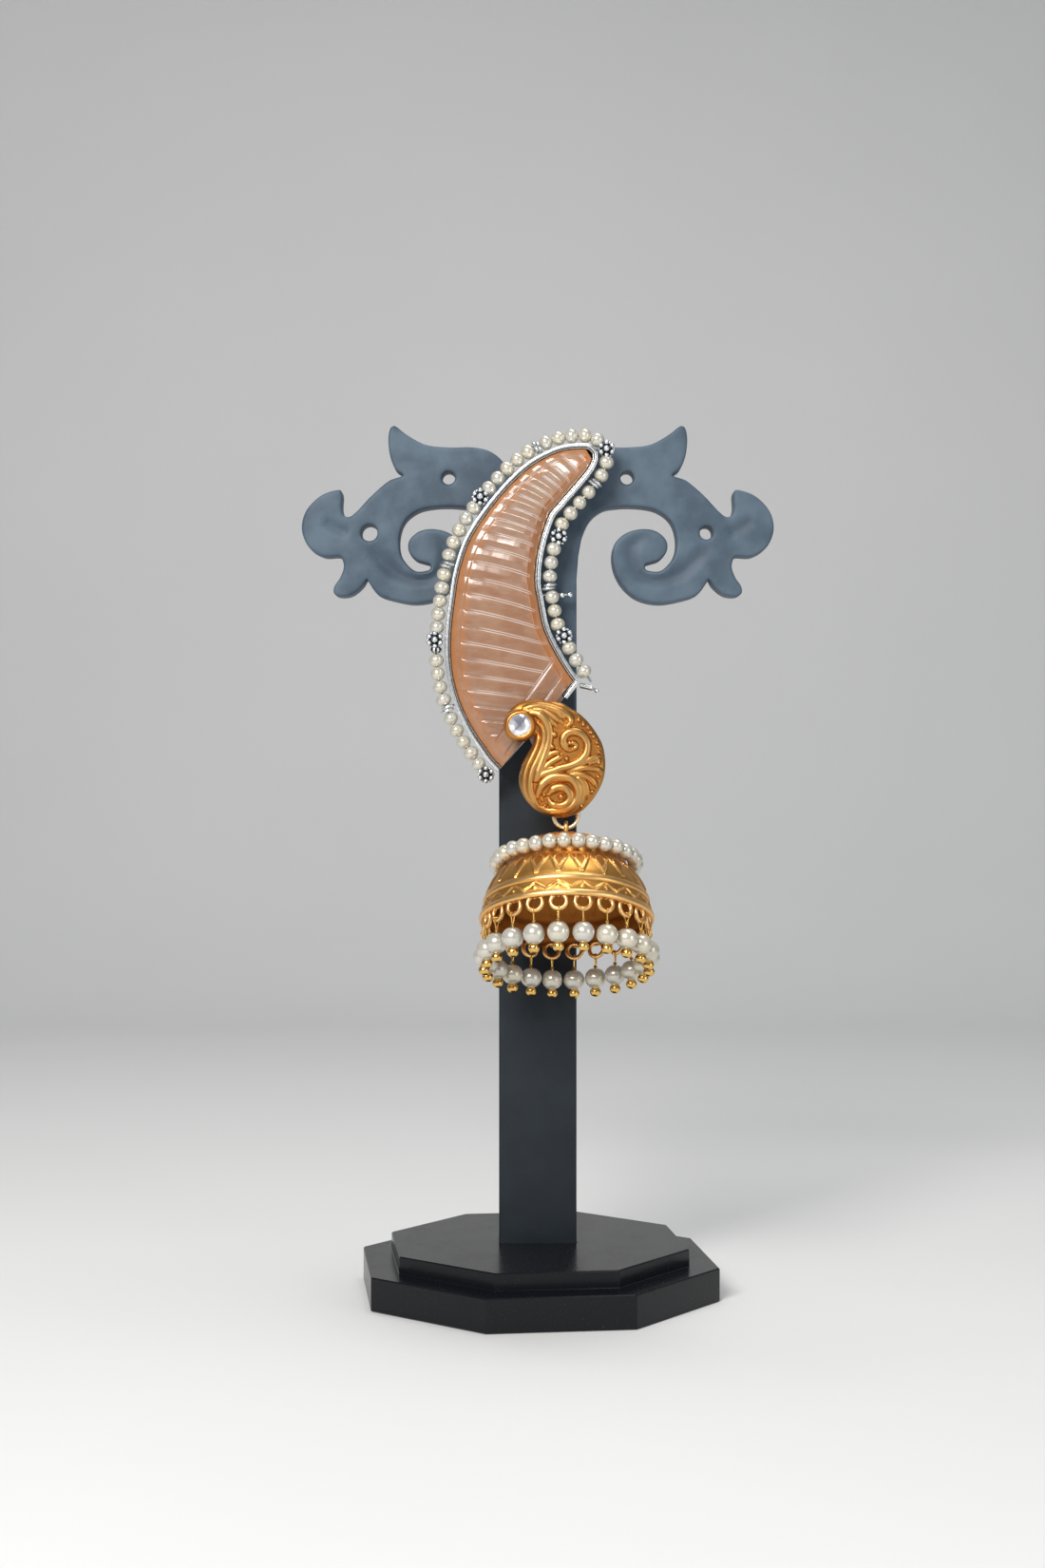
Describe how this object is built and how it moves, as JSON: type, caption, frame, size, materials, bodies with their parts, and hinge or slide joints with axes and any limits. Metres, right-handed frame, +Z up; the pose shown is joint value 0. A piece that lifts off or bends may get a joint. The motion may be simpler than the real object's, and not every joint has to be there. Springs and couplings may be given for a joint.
{
  "type": "jhumka earring on display stand",
  "caption": "Long jhumka earring with a carved crescent stone edged in pearls, a gold paisley and a hanging bell fringed with pearls, on a plain T-shaped display stand.",
  "frame": {"origin": "centre of the bottom face of the stand's foot", "axes": "+Z up the stand's post; the earring faces -Y; +X to the viewer's right"},
  "size_m": [0.084, 0.0664, 0.1543],
  "materials": {
    "black_gloss": "glossy black moulded plastic",
    "smoke_plastic": "frosted blue-grey plastic",
    "aged_silver": "silver darkened in its grooves",
    "peach_stone": "translucent carved peach stone",
    "seed_pearl": "cream pearl lustre",
    "antique_gold": "matte antique gold",
    "crystal": "clear faceted crystal"
  },
  "bodies": {
    "stand_and_wing": {"stand_base": "black_gloss", "stand_post_and_arms": "smoke_plastic", "wing_setting": "aged_silver", "wing_stone": "peach_stone", "wing_pearl_string": "seed_pearl", "paisley": "antique_gold", "crystal": "crystal"},
    "ring": {"jump_ring": "antique_gold"},
    "jhumka": {"bell": "antique_gold", "bell_pearl_ring": "seed_pearl", "pearl_drop_01": "seed_pearl", "pearl_drop_02": "seed_pearl", "pearl_drop_03": "seed_pearl", "pearl_drop_04": "seed_pearl", "pearl_drop_05": "seed_pearl", "pearl_drop_06": "seed_pearl", "pearl_drop_07": "seed_pearl", "pearl_drop_08": "seed_pearl", "pearl_drop_09": "seed_pearl", "pearl_drop_10": "seed_pearl", "pearl_drop_11": "seed_pearl", "pearl_drop_12": "seed_pearl", "pearl_drop_13": "seed_pearl", "pearl_drop_14": "seed_pearl", "pearl_drop_15": "seed_pearl", "pearl_drop_16": "seed_pearl", "pearl_drop_17": "seed_pearl", "pearl_drop_18": "seed_pearl", "pearl_drop_19": "seed_pearl", "pearl_drop_20": "seed_pearl", "pearl_drop_21": "seed_pearl", "pearl_drop_22": "seed_pearl"}
  },
  "joints": [
    {"name": "ring_sway", "type": "hinge", "parent": "stand_and_wing", "child": "ring", "pos_m": [0.0048, -0.01262, 0.08615], "axis": [0, 1, 0], "range_deg": [-25, 25]},
    {"name": "bell_swing", "type": "hinge", "parent": "ring", "child": "jhumka", "pos_m": [0.0048, -0.01262, 0.0829], "axis": [-1, 0, 0], "range_deg": [0, 35]}
  ]
}
